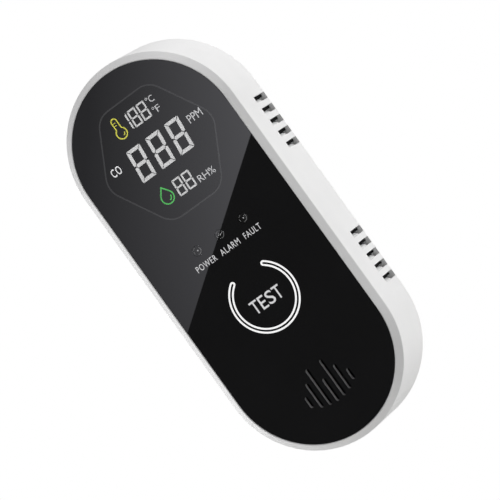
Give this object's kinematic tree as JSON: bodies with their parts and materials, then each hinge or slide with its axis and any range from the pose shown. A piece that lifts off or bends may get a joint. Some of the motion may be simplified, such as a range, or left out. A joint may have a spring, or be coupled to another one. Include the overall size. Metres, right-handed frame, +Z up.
{
  "type": "carbon monoxide detector",
  "caption": "Pill-shaped wall-hung carbon monoxide detector: white bevelled housing, gloss black front with a digital display, indicator lamps, press-to-test key and sounder grille.",
  "frame": {"origin": "centre of the flat back face that lies against the wall", "axes": "+Z up along the pill, +Y out of the back towards the wall, so the front faces -Y; +X to the right seen from the front"},
  "size_m": [0.0548, 0.0253, 0.127],
  "materials": {
    "white_shell": "smooth satin white moulding",
    "black_panel": "high gloss black sheet",
    "smoked_window": "smoked, polished",
    "adhesive": "thin black foam tape",
    "lcd_glass": "dark display glass",
    "white_plastic": "plain white moulding",
    "elastomer": "striped elastomer",
    "clear_lamp": "clear water-white epoxy",
    "black_plastic": "fine satin black moulding",
    "circuit_board": "green solder mask",
    "tinned_wire": "tinned",
    "steel": "zinc plated",
    "spring_steel": "nickel plated",
    "brass_disc": "rolled brass",
    "ceramic_disc": "fired and silvered",
    "dust_mesh": "fine black woven mesh",
    "foam": "closed cell foam",
    "cell_label": "plain shrink label, steel ends",
    "sensor_can": "drawn can",
    "red_lead": "PVC insulation",
    "black_lead": "PVC insulation"
  },
  "bodies": {
    "housing": {"alarm_lamp": "clear_lamp", "amplifier_chip": "black_plastic", "back_cover": "white_shell", "battery_cell_1": "cell_label", "battery_cell_2": "cell_label", "battery_cell_3": "cell_label", "battery_contacts": "spring_steel", "battery_holder": "black_plastic", "battery_lead_black": "black_lead", "battery_lead_red": "red_lead", "battery_springs": "spring_steel", "board_capacitors": "sensor_can", "board_resistors": "black_plastic", "board_screws": "steel", "buzzer_case": "black_plastic", "buzzer_gasket": "foam", "climate_sensor": "white_plastic", "cover_screws": "steel", "display_window": "smoked_window", "fault_lamp": "clear_lamp", "front_housing": "white_shell", "front_panel": "black_panel", "gas_sensor_can": "sensor_can", "gas_sensor_cap": "white_plastic", "gas_sensor_pins": "tinned_wire", "grille_mesh": "dust_mesh", "lamp_holder": "black_plastic", "lamp_leads": "tinned_wire", "lcd_backlight": "white_plastic", "lcd_frame": "white_plastic", "lcd_glass": "lcd_glass", "main_board": "circuit_board", "microcontroller": "black_plastic", "microcontroller_legs": "tinned_wire", "panel_adhesive": "adhesive", "piezo_ceramic": "ceramic_disc", "piezo_disc": "brass_disc", "power_lamp": "clear_lamp", "test_switch_body": "black_plastic", "test_switch_pins": "tinned_wire", "zebra_strip": "elastomer"},
    "test_key": {"test_button": "black_panel"},
    "switch_plunger": {"test_switch_plunger": "white_plastic"},
    "door": {"battery_door": "white_shell"}
  },
  "joints": [
    {"name": "test_button_press", "type": "hinge", "parent": "housing", "child": "test_key", "pos_m": [0, -0.02365, -0.00731], "axis": [1, 0, 0], "range_deg": [0, 2.5], "stiffness_Nm_per_rad": 0.36},
    {"name": "test_switch_travel", "type": "slide", "parent": "housing", "child": "switch_plunger", "axis": [0, 1, 0], "range_m": [0, 0.00035]},
    {"name": "battery_door_tilt", "type": "hinge", "parent": "housing", "child": "door", "pos_m": [0, -0.0001, -0.05215], "axis": [-1, 0, 0], "range_deg": [0, 75]}
  ],
  "couplings": [
    {"joint": "test_switch_travel", "follows": "test_button_press", "m_per_rad": 0.00789}
  ]
}
